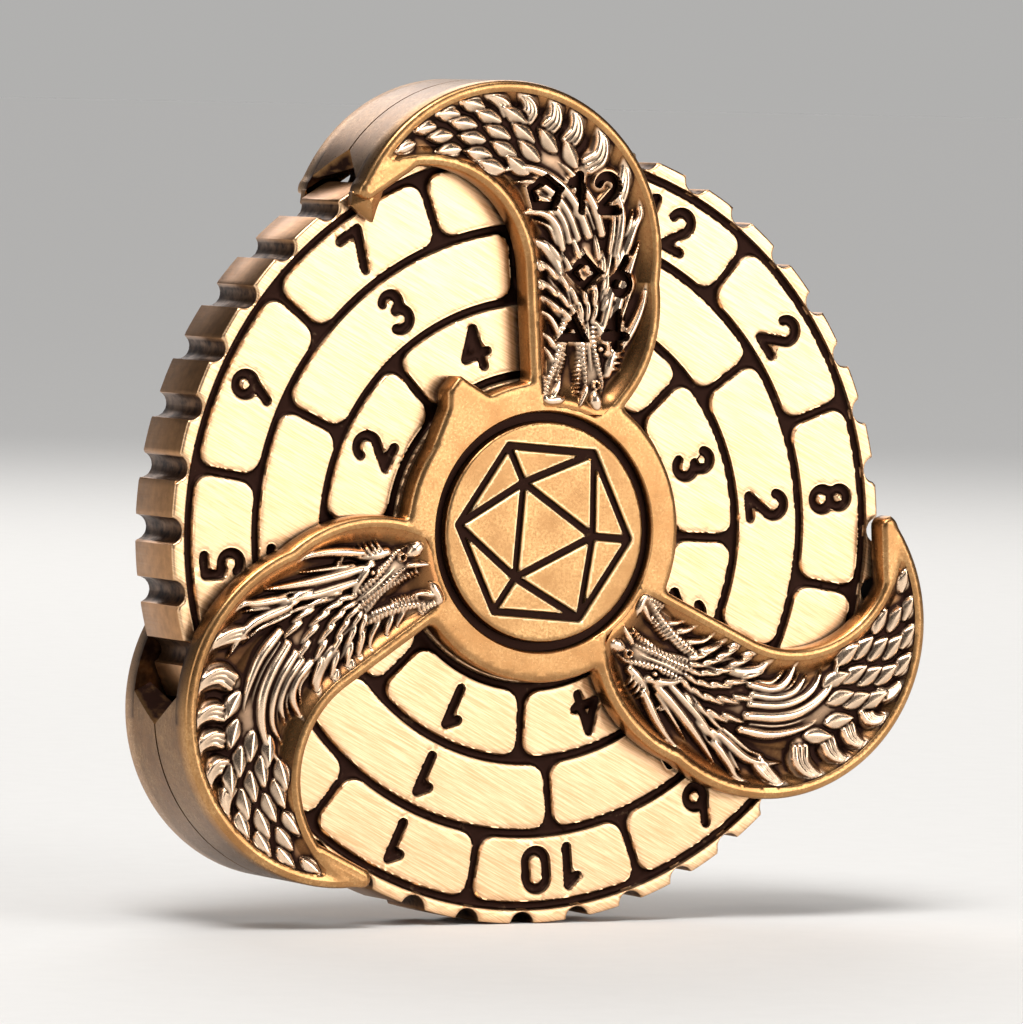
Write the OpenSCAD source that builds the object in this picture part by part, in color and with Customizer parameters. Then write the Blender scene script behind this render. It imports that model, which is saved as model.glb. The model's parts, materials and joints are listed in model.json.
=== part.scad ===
// Three-armed metal number counter: a round number wheel that spins on a
// ball bearing between two halves of a three-armed frame.
// It stands on the rim of the wheel. The wheel's axis is the Y axis, the
// front of the counter faces -Y, and the origin is the centre of the wheel.

/* [Wheel] */
// Radius of the number wheel over its rim
wheel_r = 26.2; // [26.1:0.1:26.3]
// Thickness of the number wheel
wheel_t = 6; // [5.8:0.1:6]
// Number of grip notches in the rim
notch_count = 40; // [36:4:44]
// Radius of one grip notch
notch_r = 0.85; // [0.75:0.05:0.95]
// Depth of the grooves and the numbers
engraving = 0.4; // [0.2:0.05:0.5]
// Width of the grooves between the number fields
groove_w = 0.62; // [0.5:0.02:0.7]
// Corner radius of a number field
corner_r = 1; // [0.8:0.1:1.2]
// Direction of the three ones on the wheel at rest
ones_angle = 245.5; // [0:0.5:360]

/* [Frame] */
// Thickness of the whole counter
counter_t = 10; // [10:0.1:10.4]
// Radius of the hub
hub_r = 10; // [9.8:0.1:10.2]
// Running gap between the wheel and the frame, on the faces
face_gap = 0.35; // [0.25:0.05:0.4]
// Running gap between the rim and the arm ends
rim_gap = 0.5; // [0.3:0.1:0.6]
// Width of the raised border round the arms
border_w = 0.65; // [0.5:0.05:0.8]
// Depth of the sunk fields in the arms
field_depth = 0.7; // [0.5:0.05:0.8]

/* [Numbers] */
// Height of a number
digit_h = 3.3; // [3.1:0.1:3.4]
// Width of a single figure
digit_w = 2.2; // [2:0.05:2.3]
// Width of the strokes of a number
stroke = 0.6; // [0.5:0.02:0.64]

/* [Bearing] */
// Bore of the bearing
bearing_bore = 6.35; // [6.35]
// Outer diameter of the bearing
bearing_od = 12.7; // [12.7]
// Width of the bearing
bearing_w = 4.762; // [4.762]
// Diameter of a ball
ball_d = 1.588; // [1.588]

/* [Hidden] */
$fn = 48;
eps = 0.01;

ARMS = [0, 1, 2];
ARM_STEP = 360 / len(ARMS);
BALLS = [0, 1, 2, 3, 4, 5, 6, 7, 8, 9];
ball_count = len(BALLS);
SIDES = [1, -1];

half_t = counter_t / 2;
face_z = wheel_t / 2;
floor_z = face_z - engraving;
plate_z = face_z + face_gap;
field_z = half_t - field_depth;
relief_z = half_t - 0.3;
claw_z = half_t - 0.4;

// Rings of number fields: inner radius, outer radius and the numbers,
// counter-clockwise from the one
outer_groove_r = 25;
middle_groove_r = 20.17;
inner_groove_r = 15.3;
hub_groove_r = 10.4;
RINGS = [
    [middle_groove_r, outer_groove_r, [1, 10, 6, 4, 8, 2, 12, 3, 7, 9, 5, 11]],
    [inner_groove_r, middle_groove_r, [1, 4, 2, 6, 3, 5]],
    [hub_groove_r, inner_groove_r, [1, 4, 2, 3, 1, 4, 2, 3]]
];
border_r = outer_groove_r + groove_w / 2;
rim_chamfer = 0.2;
notch_out = 0.1;
land_r = hub_groove_r - groove_w / 2;

// Arm outline: an outer circle, a circle at its root and an inner circle whose
// edge runs on straight to the hub, leaning by some degrees
arm_c = [-3.15, 18.3];
arm_r = 11.55;
root_c = [-1.5, 15];
root_r = 9.9;
inner_c = [-9, 16.8];
inner_r = 7.3;
inner_lean = 4.1;
tip_c = [-13.35, 22.43];
tip_root = [-10.5, 24.3];
tip_r = 0.62;
arm_reach = norm(arm_c) + arm_r;
arm_dir = atan2(arm_c[1], arm_c[0]);
field_start_r = 9.4;
core_inset = 1.4;
lug_r = wheel_r + rim_gap;
lug_start = 86.5;
lug_end = 116.5;
lug_notch = 1.8;
notch_z = plate_z - 0.03;
seam_w = 0.1;
seam_depth = 0.35;

// Medallion and its groove
medallion_r = 7.3;
medallion_t = 1;
medallion_fit = 0.02;
medallion_z = half_t - medallion_t;
ring_groove_r = 8.1;
ring_groove_depth = 0.5;
facet_line_w = 0.45;
facet_line_depth = 0.25;
facet_outer_r = 6.4;
facet_inner_r = 3.6;

// Axle
bore_r = bearing_bore / 2;
race_z = bearing_w / 2;
post_r = bore_r - 0.015;
post_hole_r = bore_r + 0.01;
head_r = 4;
head_pocket_r = 4.05;
head_t = 0.8;
head_z = medallion_z - head_t;
shim_t = 0.1;
shim_z = race_z + shim_t;
boss_r = 4.8;
screw_r = 1.49;
thread_r = 1.5;
socket_r = 1.2;

// Bearing
pitch_r = (bearing_bore + bearing_od) / 4;
ball_r = ball_d / 2 - 0.02;
track_r = ball_d / 2 + 0.02;
inner_land_r = 4.2;
outer_land_r = 5.3;
cage_in_r = 4.42;
cage_out_r = 5.12;
cage_z = 1.35;
pocket_r = 0.86;
shield_z = 1.95;
shield_t = 0.15;
shield_in_r = 4.28;
shield_seat_r = 5.72;
clip_w = 0.36;
clip_t = 0.18;
clip_gap = 30;
lip_r = 5.95;

// Dowel pins in the arm ends
pin_r = 0.6;
pin_len = 5;
pin_fit = 0.01;
pin_pos_r = (lug_r + arm_reach) / 2;

// The counter's own axis (+z out of the front face) laid along -Y
module stood_up() rotate([90, 0, 0]) children();

module ring_2d(r_out, r_in) {
    difference() {
        circle(r_out);
        circle(r_in);
    }
}

module tube(r_out, r_in, z0, z1) {
    translate([0, 0, z0]) linear_extrude(z1 - z0) ring_2d(r_out, r_in);
}

// ---- Numbers ----

half_w = (digit_w - stroke) / 2;
half_h = (digit_h - stroke) / 2;
small_bowl = half_h * 0.47;
big_bowl = half_h * 0.53;
pair_shift = digit_w * 0.57;

// A straight stroke with round ends
module bar(p, q) {
    d = q - p;
    translate(p) rotate(atan2(d[1], d[0])) translate([0, -stroke / 2]) square([norm(d), stroke]);
    translate(p) circle(stroke / 2);
    translate(q) circle(stroke / 2);
}

// A curved stroke round c, from angle a0 to a1, with round ends
module bow(c, r, a0, a1) {
    steps = 6;
    wedge = concat([[0, 0]], [for (i = [0:steps]) 2 * r * dir(a0 + (a1 - a0) * i / steps)]);
    translate(c) {
        intersection() {
            ring_2d(r + stroke / 2, r - stroke / 2);
            polygon(wedge);
        }
        translate(r * dir(a0)) circle(stroke / 2);
        translate(r * dir(a1)) circle(stroke / 2);
    }
}

module bowl(c, r) translate(c) ring_2d(r + stroke / 2, r - stroke / 2);

module figure(n) {
    if (n == 0) {
        bow([0, half_h - half_w], half_w, 0, 180);
        bow([0, half_w - half_h], half_w, 180, 360);
        for (s = SIDES) bar([s * half_w, half_w - half_h], [s * half_w, half_h - half_w]);
    }
    if (n == 1) {
        bar([0.15, -half_h], [0.15, half_h]);
        bar([0.15, half_h], [-half_w * 0.7, half_h * 0.55]);
    }
    if (n == 2) {
        bow([0, half_h - half_w], half_w, -35, 165);
        bar([half_w * cos(35), half_h - half_w * (1 + sin(35))], [-half_w, -half_h]);
        bar([-half_w, -half_h], [half_w, -half_h]);
    }
    if (n == 3) {
        bow([0, half_h - small_bowl], small_bowl, -90, 150);
        bow([0, big_bowl - half_h], big_bowl, -150, 90);
    }
    if (n == 4) {
        bar([half_w * 0.45, -half_h], [half_w * 0.45, half_h]);
        bar([half_w * 0.45, half_h], [-half_w * 1.1, -half_h * 0.35]);
        bar([-half_w * 1.1, -half_h * 0.35], [half_w * 1.15, -half_h * 0.35]);
    }
    if (n == 5) {
        bar([half_w * 0.9, half_h], [-half_w * 0.8, half_h]);
        bar([-half_w * 0.8, half_h], [-half_w * 0.9, half_h * 0.15]);
        bow([0, big_bowl - half_h], big_bowl, -145, 120);
        bar([-half_w * 0.9, half_h * 0.15], [big_bowl * cos(120), (1 + sin(120)) * big_bowl - half_h]);
    }
    if (n == 6) six();
    if (n == 7) {
        bar([-half_w, half_h], [half_w, half_h]);
        bar([half_w, half_h], [-half_w * 0.35, -half_h]);
    }
    if (n == 8) {
        bowl([0, half_h - small_bowl], small_bowl);
        bowl([0, big_bowl - half_h], big_bowl);
    }
    if (n == 9) rotate(180) six();
}

module six() {
    bowl([0, big_bowl - half_h], big_bowl);
    bar([-big_bowl, big_bowl - half_h], [half_w * 0.45, half_h]);
}

module number(n) {
    if (n < 10) figure(n);
    if (n >= 10) {
        translate([-pair_shift, 0]) figure(floor(n / 10));
        translate([pair_shift, 0]) figure(n % 10);
    }
}

// ---- Number wheel ----

function dir(a) = [cos(a), sin(a)];

function arc(c, r, a0, a1, steps) = [for (i = [0:steps]) c + r * dir(a0 + (a1 - a0) * i / steps)];

// Angle between a separator's centreline and a corner centre at radius rc
function corner_angle(rc) = asin((groove_w / 2 + corner_r) / rc);

// A number field with rounded corners, centred on the +x direction
function field_points(r0, r1, span) =
    let (
        half = span / 2,
        lo = r0 + groove_w / 2,
        hi = r1 - groove_w / 2,
        a_lo = half - corner_angle(lo + corner_r),
        a_hi = half - corner_angle(hi - corner_r),
        c_lo = lo + corner_r,
        c_hi = hi - corner_r
    )
    concat(
        arc([0, 0], hi, -a_hi, a_hi, floor(span / 5)),
        arc(c_hi * dir(a_hi), corner_r, a_hi, half + 90, 4),
        arc(c_lo * dir(a_lo), corner_r, half + 90, a_lo + 180, 4),
        arc([0, 0], lo, a_lo, -a_lo, floor(span / 5)),
        arc(c_lo * dir(-a_lo), corner_r, 180 - a_lo, 270 - half, 4),
        arc(c_hi * dir(-a_hi), corner_r, -half - 90, -a_hi, 4)
    );

// All number fields of one face, less their numbers. The numbers of the back
// face are mirrored here, so that they read the right way from behind.
module number_fields(is_back) {
    for (ring = RINGS) {
        count = len(ring[2]);
        span = 360 / count;
        for (i = [0:count - 1]) rotate(ones_angle + i * span) difference() {
            polygon(field_points(ring[0], ring[1], span));
            translate([(ring[0] + ring[1]) / 2, 0]) rotate(-90)
                mirror([is_back ? 1 : 0, 0]) number(ring[2][i]);
        }
    }
}

module notches() {
    for (i = [0:notch_count - 1]) rotate(270 + i * 360 / notch_count)
        translate([wheel_r + notch_r * notch_out, 0, -half_t]) cylinder(r = notch_r, h = counter_t);
}

module number_wheel() {
    section = [
        [bearing_od / 2, -floor_z], [border_r, -floor_z], [border_r, -face_z],
        [wheel_r - rim_chamfer, -face_z], [wheel_r, rim_chamfer - face_z],
        [wheel_r, face_z - rim_chamfer], [wheel_r - rim_chamfer, face_z],
        [border_r, face_z], [border_r, floor_z], [land_r, floor_z], [land_r, face_z],
        [bearing_od / 2, face_z]
    ];
    color("goldenrod") stood_up() {
        difference() {
            rotate_extrude() polygon(section);
            notches();
        }
        tube(bearing_od / 2 + eps, lip_r, -face_z, -race_z);
        tube(land_r, bearing_od / 2, -face_z, eps - floor_z);
        translate([0, 0, floor_z - eps]) linear_extrude(engraving + eps) number_fields(false);
        translate([0, 0, -face_z]) linear_extrude(engraving + eps) number_fields(true);
    }
}

// ---- Frame ----

// One arm, grown by g on all sides
module arm_2d(g) {
    difference() {
        union() {
            translate(arm_c) circle(arm_r + g);
            translate(root_c) circle(root_r + g);
        }
        translate(inner_c) circle(inner_r - g);
        translate(inner_c) rotate(inner_lean) translate([-2 * arm_r, -2 * arm_r])
            square([2 * arm_r + inner_r - g + eps, 2 * arm_r]);
    }
    if (tip_r + g > 0) arm_tip_2d(tip_r + g);
}

// The rounded end of an arm
module arm_tip_2d(r) {
    d = tip_root - tip_c;
    translate(tip_c) circle(r);
    translate(tip_c) rotate(atan2(d[1], d[0])) translate([0, -r]) square([norm(d), 2 * r]);
}

module three_arms() for (i = ARMS) rotate(i * ARM_STEP) children();

// The two pointers beside the reading window: a spike on the hub, and a lower
// claw under the tip of the first arm
module spike_2d()
    polygon([[-8.2, 5.7], [-7.2, 8.2], [-7.2, 9.3], [-6.4, 10.3], [-5.6, 9.8], [-4, 8.9], [-2, 6]]);

module claw_2d()
    polygon([[-14.1, 22.3], [-14.2, 21.4], [-13.5, 20.9], [-12.5, 20.3], [-12.2, 21.2],
        [-11.8, 22.2], [-11.7, 23.2], [-13, 23]]);

module frame_2d() {
    circle(hub_r);
    three_arms() arm_2d(0);
    spike_2d();
}

module fields_2d() {
    difference() {
        three_arms() arm_2d(-border_w);
        circle(field_start_r);
    }
}

// Simplified relief in a sunk field: a tapering body with a crest of
// curved blades along its back and an open jaw towards the hub
module relief_2d() {
    blade = [[-1.3, -0.75], [-0.3, -0.2], [0.45, 0.75], [-0.7, 0.5]];
    difference() {
        arm_2d(-core_inset);
        circle(hub_r + 3);
    }
    for (a = [-20:13:136]) translate(arm_c) rotate(a) translate([arm_r - border_w - 0.5, 0])
        polygon(blade);
    translate([3.5, 11.2]) rotate(-80) square([3.2, 1.9], center = true);
    translate([0.7, 11.6]) rotate(-95) square([3.4, 1.2], center = true);
}

// Marks of the rings on the first arm: a pentagon, a square and a triangle
// stand for the twelve-, six- and four-step rings
module ring_marks_2d(is_back) {
    ring_mark(is_back, 5, 90, 12, [-0.4, 22.4], [3.2, 22.5]);
    ring_mark(is_back, 4, 45, 6, [2.7, 17.2], [5.4, 17]);
    ring_mark(is_back, 3, 90, 4, [1.9, 13.3], [4.9, 13.4]);
}

// A shape with its number to the right, or to the left and mirrored on the back
// half, so that both read the right way from their own side
module ring_mark(is_back, corners, turn, n, shape_at, number_at) {
    mark_r = 1.2;
    translate(is_back ? number_at : shape_at) rotate(turn) circle(mark_r, $fn = corners);
    translate(is_back ? shape_at : number_at) scale(0.8)
        mirror([is_back ? 1 : 0, 0]) number(n);
}

// The part of each arm outside the wheel, which joins the two frame halves
module lug_2d(inset) {
    difference() {
        arm_2d(-inset);
        circle(lug_r);
    }
}

// Each of its ends is cut to a V, deepest at the seam.
module lug() {
    side_view = [[0, -1], [0, 0], [lug_notch, notch_z], [6, notch_z], [6, -1]];
    difference() {
        union() {
            linear_extrude(seam_w + eps) lug_2d(seam_depth);
            translate([0, 0, seam_w]) linear_extrude(plate_z - seam_w + eps) lug_2d(0);
        }
        rotate(lug_end) lug_cut(side_view);
        rotate(lug_start) mirror([0, 1, 0]) lug_cut(side_view);
    }
}

module lug_cut(side_view)
    translate([lug_r / 2, 0, 0]) rotate([90, 0, 90]) linear_extrude(arm_reach) polygon(side_view);

// One half of the frame, on the +z side
module frame_half(is_back) {
    difference() {
        union() {
            translate([0, 0, plate_z]) linear_extrude(field_z - plate_z) frame_2d();
            translate([0, 0, plate_z]) linear_extrude(claw_z - plate_z) claw_2d();
            translate([0, 0, field_z - eps]) linear_extrude(half_t - field_z + eps) difference() {
                frame_2d();
                fields_2d();
            }
            translate([0, 0, field_z - eps]) linear_extrude(relief_z - field_z + eps)
                difference() {
                    three_arms() relief_2d();
                    ring_marks_2d(is_back);
                }
            three_arms() lug();
            tube(boss_r, post_hole_r, shim_z, plate_z + eps);
        }
        translate([0, 0, medallion_z]) cylinder(r = medallion_r + medallion_fit, h = half_t);
        translate([0, 0, half_t - ring_groove_depth]) cylinder(r = ring_groove_r, h = half_t);
        translate([0, 0, head_z]) cylinder(r = head_pocket_r, h = half_t);
        cylinder(r = post_hole_r, h = half_t);
        three_arms() rotate(arm_dir) translate([pin_pos_r, 0, -eps])
            cylinder(r = pin_r + pin_fit, h = pin_len / 2 + 0.1 + eps);
    }
}

module front_frame() color("peru") stood_up() frame_half(false);

module back_frame() color("peru") stood_up() mirror([0, 0, 1]) frame_half(true);

// ---- Medallions ----

// Line figure of an icosahedron seen along the axis of a face
module facet_lines_2d() {
    outer = [for (i = [0:5]) facet_outer_r * dir(60 * i)];
    inner = [for (i = [0:2]) facet_inner_r * dir(120 * i)];
    for (i = [0:5]) line(outer[i], outer[(i + 1) % 6]);
    for (i = [0:2]) {
        line(inner[i], inner[(i + 1) % 3]);
        for (k = [-1:1]) line(inner[i], outer[(2 * i + k + 6) % 6]);
    }
}

module line(p, q) {
    d = q - p;
    translate(p) rotate(atan2(d[1], d[0])) translate([0, -facet_line_w / 2])
        square([norm(d), facet_line_w]);
    for (end = [p, q]) translate(end) circle(facet_line_w / 2);
}

module medallion() {
    translate([0, 0, medallion_z]) difference() {
        cylinder(r = medallion_r, h = medallion_t);
        translate([0, 0, medallion_t - facet_line_depth]) linear_extrude(1) facet_lines_2d();
    }
}

module front_medallion() color("darkgoldenrod") stood_up() medallion();

module back_medallion() color("darkgoldenrod") stood_up() mirror([0, 0, 1]) medallion();

// ---- Axle and fasteners ----

// Headed post that carries the inner race, threaded for the axle screw
module axle_post() {
    slot_w = 0.9;
    color("silver") stood_up() difference() {
        union() {
            translate([0, 0, -medallion_z]) cylinder(r = head_r, h = head_t);
            translate([0, 0, -head_z - eps]) cylinder(r = post_r, h = 2 * head_z - 0.2);
        }
        translate([0, 0, -race_z]) cylinder(r = thread_r, h = counter_t);
        translate([-head_r, -slot_w / 2, -medallion_z - eps]) cube([2 * head_r, slot_w, head_t / 2]);
    }
}

module axle_screw() {
    color("silver") stood_up() difference() {
        union() {
            translate([0, 0, head_z]) cylinder(r = head_r, h = head_t);
            translate([0, 0, -race_z + 0.3]) cylinder(r = screw_r, h = race_z - 0.3 + head_z + eps);
        }
        translate([0, 0, medallion_z - head_t * 0.65]) cylinder(r = socket_r, h = head_t, $fn = 6);
    }
}

module shim() tube(head_r - 0.05, bore_r + 0.03, race_z, shim_z);

module front_shim() color("lightgrey") stood_up() shim();

module back_shim() color("lightgrey") stood_up() mirror([0, 0, 1]) shim();

module dowel_pin(i) {
    color("silver") stood_up() rotate(arm_dir + i * ARM_STEP)
        translate([pin_pos_r, 0, -pin_len / 2]) cylinder(r = pin_r, h = pin_len);
}

// ---- Bearing ----

module race(r_out, r_in) {
    rotate_extrude() difference() {
        translate([r_in, -race_z]) square([r_out - r_in, bearing_w]);
        translate([pitch_r, 0]) circle(track_r);
    }
}

module bearing_inner_race() color("lightsteelblue") stood_up() race(inner_land_r, bore_r);

module bearing_outer_race() {
    color("lightsteelblue") stood_up() difference() {
        race(bearing_od / 2 - 0.005, outer_land_r);
        for (s = SIDES) scale([1, 1, s]) translate([0, 0, shield_z])
            cylinder(r = shield_seat_r, h = bearing_w);
    }
}

module bearing_cage() {
    color("gold") stood_up() difference() {
        tube(cage_out_r, cage_in_r, -cage_z, cage_z);
        for (i = [0:ball_count - 1]) rotate(i * 360 / ball_count) rotate([0, 90, 0])
            cylinder(r = pocket_r, h = bearing_od / 2);
    }
}

module ball(i) {
    color("white") stood_up() rotate(i * 360 / ball_count) translate([pitch_r, 0, 0])
        sphere(ball_r);
}

module shield() tube(shield_seat_r - 0.02, shield_in_r, shield_z, shield_z + shield_t);

module shield_clip() {
    difference() {
        tube(shield_seat_r - 0.01, shield_seat_r - clip_w, shield_z + shield_t,
            shield_z + shield_t + clip_t);
        linear_extrude(counter_t) polygon([[0, 0], 9 * dir(-clip_gap / 2), 9 * dir(clip_gap / 2)]);
    }
}

module front_shield() color("silver") stood_up() shield();

module back_shield() color("silver") stood_up() mirror([0, 0, 1]) shield();

module front_shield_clip() color("dimgrey") stood_up() shield_clip();

module back_shield_clip() color("dimgrey") stood_up() mirror([0, 0, 1]) shield_clip();

// ---- The assembly ----

front_frame();
back_frame();
front_medallion();
back_medallion();
axle_post();
axle_screw();
front_shim();
back_shim();
for (i = ARMS) dowel_pin(i);
bearing_inner_race();
bearing_outer_race();
bearing_cage();
for (i = BALLS) ball(i);
front_shield();
back_shield();
front_shield_clip();
back_shield_clip();
number_wheel();
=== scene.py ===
import json
import math

import bpy
import numpy as np
from mathutils import Matrix, Vector
from mathutils.geometry import tessellate_polygon


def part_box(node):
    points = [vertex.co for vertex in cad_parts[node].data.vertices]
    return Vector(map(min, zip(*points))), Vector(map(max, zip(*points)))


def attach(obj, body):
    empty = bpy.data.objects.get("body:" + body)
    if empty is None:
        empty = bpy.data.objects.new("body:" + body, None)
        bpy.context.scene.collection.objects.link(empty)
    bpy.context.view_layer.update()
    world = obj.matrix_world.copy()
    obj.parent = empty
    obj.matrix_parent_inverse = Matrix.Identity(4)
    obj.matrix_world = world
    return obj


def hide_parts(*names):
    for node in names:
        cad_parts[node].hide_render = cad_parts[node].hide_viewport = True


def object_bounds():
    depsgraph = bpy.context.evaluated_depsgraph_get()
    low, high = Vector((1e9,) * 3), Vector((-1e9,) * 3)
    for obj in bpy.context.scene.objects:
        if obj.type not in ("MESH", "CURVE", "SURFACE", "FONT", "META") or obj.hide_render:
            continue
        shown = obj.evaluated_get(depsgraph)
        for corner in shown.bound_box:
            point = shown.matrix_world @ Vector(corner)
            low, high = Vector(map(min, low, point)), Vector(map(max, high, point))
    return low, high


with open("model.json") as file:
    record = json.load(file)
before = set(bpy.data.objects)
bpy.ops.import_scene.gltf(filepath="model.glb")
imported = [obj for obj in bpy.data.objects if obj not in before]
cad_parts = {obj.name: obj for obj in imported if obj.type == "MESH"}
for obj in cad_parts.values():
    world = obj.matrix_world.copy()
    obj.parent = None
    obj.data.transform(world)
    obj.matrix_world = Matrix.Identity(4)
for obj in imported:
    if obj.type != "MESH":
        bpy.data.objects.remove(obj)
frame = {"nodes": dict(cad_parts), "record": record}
cad_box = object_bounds()

# Everything is drawn in the counter's own millimetres: x to the right and y up
# on its face, z out of the front. piece() turns that into the row frame.
MM = 0.001


# ---- Sizes, taken from the CAD frame where it says them ----

def reach(node, axis):
    """How far a node reaches from the origin along an axis, in millimetres."""
    low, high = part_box(node)
    return max(-low[axis], high[axis]) / MM


HALF_T = reach("front_medallion", 1)
FACE_Z = reach("number_wheel", 1)
WHEEL_R = reach("number_wheel", 2)
MEDALLION_R = reach("front_medallion", 0)
MEDALLION_Z = -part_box("front_medallion")[1][1] / MM

ENGRAVING = 0.4
FLOOR_Z = FACE_Z - ENGRAVING
PLATE_Z = FACE_Z + 0.35
FIELD_Z = HALF_T - 0.7
GROOVE_W = 0.62
CORNER_R = 1.0
NOTCHES = 40
NOTCH_R = 0.85
NOTCH_OUT = 0.1 * NOTCH_R
ONES_ANGLE = math.radians(245.5)
OUTER_R, MIDDLE_R, INNER_R, HUB_GROOVE_R = 25.0, 20.17, 15.3, 10.4
RINGS = (
    (MIDDLE_R, OUTER_R, (1, 10, 6, 4, 8, 2, 12, 3, 7, 9, 5, 11)),
    (INNER_R, MIDDLE_R, (1, 4, 2, 6, 3, 5)),
    (HUB_GROOVE_R, INNER_R, (1, 4, 2, 3, 1, 4, 2, 3)),
)
BORDER_R = OUTER_R + GROOVE_W / 2
LAND_R = HUB_GROOVE_R - GROOVE_W / 2
WHEEL_HOLE_R = 6.35
FACE_EDGE_R, RIM_EDGE_R = 0.14, 0.2
WALL_W = 0.08

HUB_R = 10.0
RING_GROOVE_R = 7.98
BORDER_W = 0.65
RING_DEPTH = 0.5
FRAME_EDGE_R, RING_EDGE_R = 0.42, 0.12
# The borders' slope starts just outside the fields. Under the beasts the frame
# is cut FIELD_CUT deeper, and near the hub the floor ramps up to its face.
FIELD_PATINA = 0.74
SLOPE_START, SLOPE_END = -0.2, 1.2
FIELD_CUT = 0.45
RAMP_R0, RAMP_R1 = 8.3, 10.4
ARM_C, ARM_R = (-3.15, 18.3), 11.55
ROOT_C, ROOT_R = (-1.5, 15.0), 9.9
INNER_C, INNER_ARC_R = (-9.0, 16.8), 7.3
INNER_LEAN = math.radians(4.1)
TIP_C, TIP_ROOT, TIP_R = (-13.35, 22.43), (-10.5, 24.3), 0.62
LUG_R = WHEEL_R + 0.5
LUG_START, LUG_END = math.radians(86.5), math.radians(116.5)
LUG_NOTCH = 1.8
SEAM_W, SEAM_DEPTH = 0.1, 0.35
SPIKE = ((-8.2, 5.7), (-7.2, 8.2), (-7.2, 9.3), (-6.4, 10.3), (-5.6, 9.8), (-4, 8.9), (-2, 6))
CLAW = ((-14.1, 22.3), (-14.2, 21.4), (-13.5, 20.9), (-12.5, 20.3), (-12.2, 21.2), (-11.8, 22.2),
        (-11.7, 23.2), (-13, 23))
CLAW_Z = HALF_T - 0.4

DIGIT_H, DIGIT_W, STROKE = 3.3, 2.2, 0.72


# ---- Distance fields: negative inside ----

def circle(x, y, centre, radius):
    return np.hypot(x - centre[0], y - centre[1]) - radius


def soft_max(a, b, k):
    h = np.clip(0.5 - 0.5 * (b - a) / k, 0, 1)
    return b + (a - b) * h + k * h * (1 - h)


def soft_min(a, b, k):
    return -soft_max(-a, -b, k)


def segment(x, y, p, q):
    px, py = x - p[0], y - p[1]
    dx, dy = q[0] - p[0], q[1] - p[1]
    t = np.clip((px * dx + py * dy) / (dx * dx + dy * dy), 0, 1)
    return np.hypot(px - t * dx, py - t * dy)


def arc(x, y, centre, radius, a0, a1):
    """Distance to the arc from angle a0 to a1, in degrees."""
    px, py = x - centre[0], y - centre[1]
    middle, half = math.radians((a0 + a1) / 2), math.radians((a1 - a0) / 2)
    turned = np.arctan2(py, px) - middle
    turned = np.abs((turned + math.pi) % (2 * math.pi) - math.pi)
    ends = [
        np.hypot(px - radius * math.cos(middle + s * half), py - radius * math.sin(middle + s * half))
        for s in (-1, 1)
    ]
    return np.where(turned <= half, np.abs(np.hypot(px, py) - radius), np.minimum(*ends))


def polygon(x, y, corners):
    """Signed distance to a closed polygon."""
    far = np.full(x.shape, 1e9)
    inside = np.zeros(x.shape, bool)
    for (ax, ay), (bx, by) in zip(corners, corners[1:] + corners[:1]):
        far = np.minimum(far, segment(x, y, (ax, ay), (bx, by)))
        if ay != by:
            crosses = (ay > y) != (by > y)
            inside ^= crosses & (x < (bx - ax) * (y - ay) / (by - ay) + ax)
    return np.where(inside, -far, far)


def turn(x, y, angle):
    c, s = math.cos(angle), math.sin(angle)
    return c * x + s * y, c * y - s * x


# ---- Numbers ----

HALF_W = (DIGIT_W - STROKE) / 2
HALF_H = (DIGIT_H - STROKE) / 2
SMALL_BOWL, BIG_BOWL = HALF_H * 0.47, HALF_H * 0.53
PAIR_SHIFT = DIGIT_W * 0.57


def figure(n, x, y):
    """Distance to the centrelines of the strokes of a single figure."""
    w, h = HALF_W, HALF_H
    top_bowl, low_bowl = (0, h - SMALL_BOWL), (0, BIG_BOWL - h)
    if n == 0:
        parts = [
            arc(x, y, (0, h - w), w, 0, 180),
            arc(x, y, (0, w - h), w, 180, 360),
            segment(x, y, (w, w - h), (w, h - w)),
            segment(x, y, (-w, w - h), (-w, h - w)),
        ]
    elif n == 1:
        parts = [segment(x, y, (0.15, -h), (0.15, h)), segment(x, y, (0.15, h), (-0.7 * w, 0.55 * h))]
    elif n == 2:
        bend = math.radians(35)
        parts = [
            arc(x, y, (0, h - w), w, -35, 165),
            segment(x, y, (w * math.cos(bend), h - w * (1 + math.sin(bend))), (-w, -h)),
            segment(x, y, (-w, -h), (w, -h)),
        ]
    elif n == 3:
        parts = [arc(x, y, top_bowl, SMALL_BOWL, -90, 150), arc(x, y, low_bowl, BIG_BOWL, -150, 90)]
    elif n == 4:
        parts = [
            segment(x, y, (0.45 * w, -h), (0.45 * w, h)),
            segment(x, y, (0.45 * w, h), (-1.1 * w, -0.35 * h)),
            segment(x, y, (-1.1 * w, -0.35 * h), (1.15 * w, -0.35 * h)),
        ]
    elif n == 5:
        lift = math.radians(120)
        start = (BIG_BOWL * math.cos(lift), (1 + math.sin(lift)) * BIG_BOWL - h)
        parts = [
            segment(x, y, (0.9 * w, h), (-0.8 * w, h)),
            segment(x, y, (-0.8 * w, h), (-0.9 * w, 0.15 * h)),
            segment(x, y, (-0.9 * w, 0.15 * h), start),
            arc(x, y, low_bowl, BIG_BOWL, -145, 120),
        ]
    elif n == 6:
        parts = [
            np.abs(circle(x, y, low_bowl, BIG_BOWL)),
            segment(x, y, (-BIG_BOWL, BIG_BOWL - h), (0.45 * w, h)),
        ]
    elif n == 7:
        parts = [segment(x, y, (-w, h), (w, h)), segment(x, y, (w, h), (-0.35 * w, -h))]
    elif n == 8:
        parts = [np.abs(circle(x, y, top_bowl, SMALL_BOWL)), np.abs(circle(x, y, low_bowl, BIG_BOWL))]
    else:
        return figure(6, -x, -y)
    return np.minimum.reduce(parts)


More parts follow.
